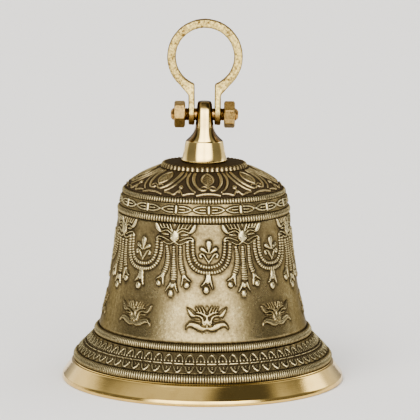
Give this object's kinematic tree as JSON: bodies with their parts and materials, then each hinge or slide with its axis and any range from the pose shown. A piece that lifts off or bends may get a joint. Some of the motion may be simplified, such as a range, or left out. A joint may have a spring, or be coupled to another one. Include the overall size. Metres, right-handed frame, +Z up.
{
  "type": "hand bell",
  "caption": "Flared cast brass hand and hanging bell with relief ornament, a hinged ring handle on a bolted stem, and a clapper on a link inside.",
  "frame": {"origin": "centre of the plane that the lip rests on", "axes": "+Z up along the bell's axis; X along the pivot stud; the handle is upright at rest"},
  "size_m": [0.136, 0.136, 0.1737],
  "materials": {
    "antique_brass": "cast relief, darkened in the recesses and rubbed bright on the high parts",
    "polished_brass": "bright polished",
    "cast_brass": "pale, as cast, with small pits",
    "dark_brass": "machined and darkened",
    "plain_brass": "dull, turned",
    "steel": "zinc-dull wire"
  },
  "bodies": {
    "bell": {"bell_body": "antique_brass", "crown_stem": "polished_brass", "clapper_eyebolt": "plain_brass", "crown_washer": "plain_brass", "lock_washer": "steel", "crown_nut": "plain_brass"},
    "bail": {"bail": "cast_brass"},
    "pivot_bolt": {"pivot_stud": "dark_brass", "pivot_nut_left": "dark_brass", "pivot_nut_right": "dark_brass"},
    "clapper_link": {"clapper_link": "steel"},
    "clapper": {"clapper_rod": "plain_brass", "clapper_ball": "plain_brass"}
  },
  "joints": [
    {"name": "bail_hinge", "type": "hinge", "parent": "bell", "child": "bail", "pos_m": [0, 0, 0.128], "axis": [1, 0, 0], "range_deg": [-128, 128]},
    {"name": "pivot_bolt_turn", "type": "hinge", "parent": "bell", "child": "pivot_bolt", "pos_m": [0, 0, 0.128], "axis": [1, 0, 0], "continuous": true},
    {"name": "clapper_swing", "type": "hinge", "parent": "bell", "child": "clapper_link", "pos_m": [0, 0, 0.0833], "axis": [1, 0, 0], "range_deg": [-33, 33]},
    {"name": "clapper_sway", "type": "hinge", "parent": "clapper_link", "child": "clapper", "pos_m": [0, 0, 0.0721], "axis": [0, 1, 0], "range_deg": [-8, 8]}
  ]
}
